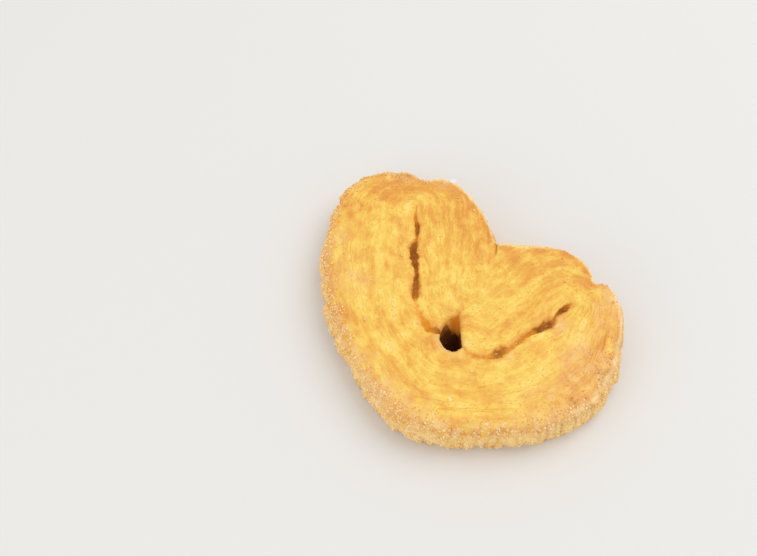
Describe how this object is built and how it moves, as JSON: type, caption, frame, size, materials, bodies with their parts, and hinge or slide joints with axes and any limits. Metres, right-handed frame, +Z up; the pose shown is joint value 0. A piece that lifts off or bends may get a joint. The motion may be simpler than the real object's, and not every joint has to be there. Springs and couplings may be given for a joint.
{
  "type": "palmier pastry",
  "caption": "Palmier: a flat heart-shaped pastry of folded flaky layers with a sugared crust, a slit in each ear and a small hole at the fold.",
  "frame": {"origin": "on the table under the middle of the pastry: the middle of the bounding box's underside", "axes": "+X across both ears to the right ear, +Y from the rounded base to the notch between the ears, +Z up through the pastry's thickness"},
  "size_m": [0.097, 0.0718, 0.0136],
  "materials": {
    "crust": "golden baked puff pastry, matt and flaky, browner in the slits and at the rim, with sugar grains on the side"
  },
  "bodies": {
    "root": {"palmier": "crust"}
  },
  "joints": []
}
